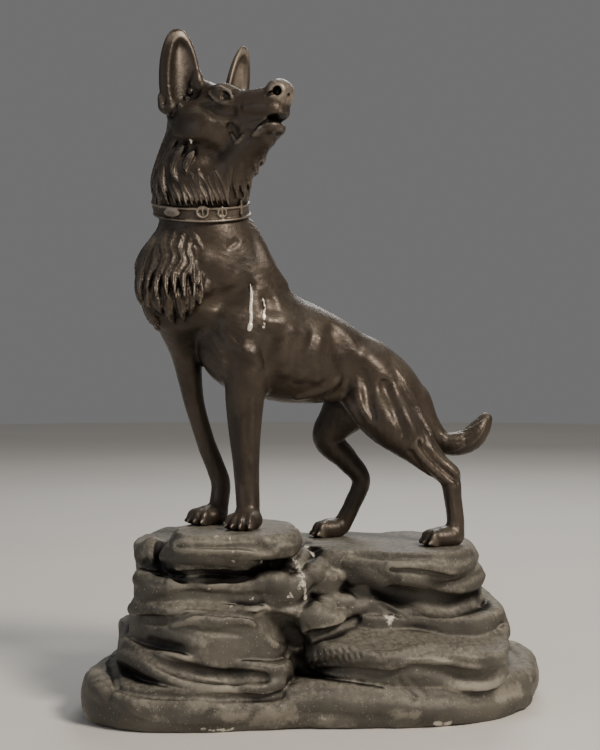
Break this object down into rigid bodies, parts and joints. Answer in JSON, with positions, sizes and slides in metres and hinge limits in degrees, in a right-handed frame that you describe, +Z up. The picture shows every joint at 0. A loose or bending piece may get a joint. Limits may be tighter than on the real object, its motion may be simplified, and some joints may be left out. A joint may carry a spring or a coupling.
{
  "type": "spelter dog statue",
  "caption": "Cast statue of a standing sheepdog with its head turned back over its shoulder, on a stepped rock base.",
  "frame": {"origin": "middle of the rock base's flat underside", "axes": "+Z up; the pictured side faces -Y; the tail points towards +X and the chest towards -X"},
  "size_m": [0.3772, 0.2298, 0.5425],
  "materials": {
    "brown_patinated_spelter": "brown patina worn to grey-beige on the high places, satin",
    "grey_patinated_spelter": "dull grey-olive patina with beige dust and pale scuffs"
  },
  "bodies": {
    "root": {"dog": "brown_patinated_spelter", "rock_base": "grey_patinated_spelter"}
  },
  "joints": []
}
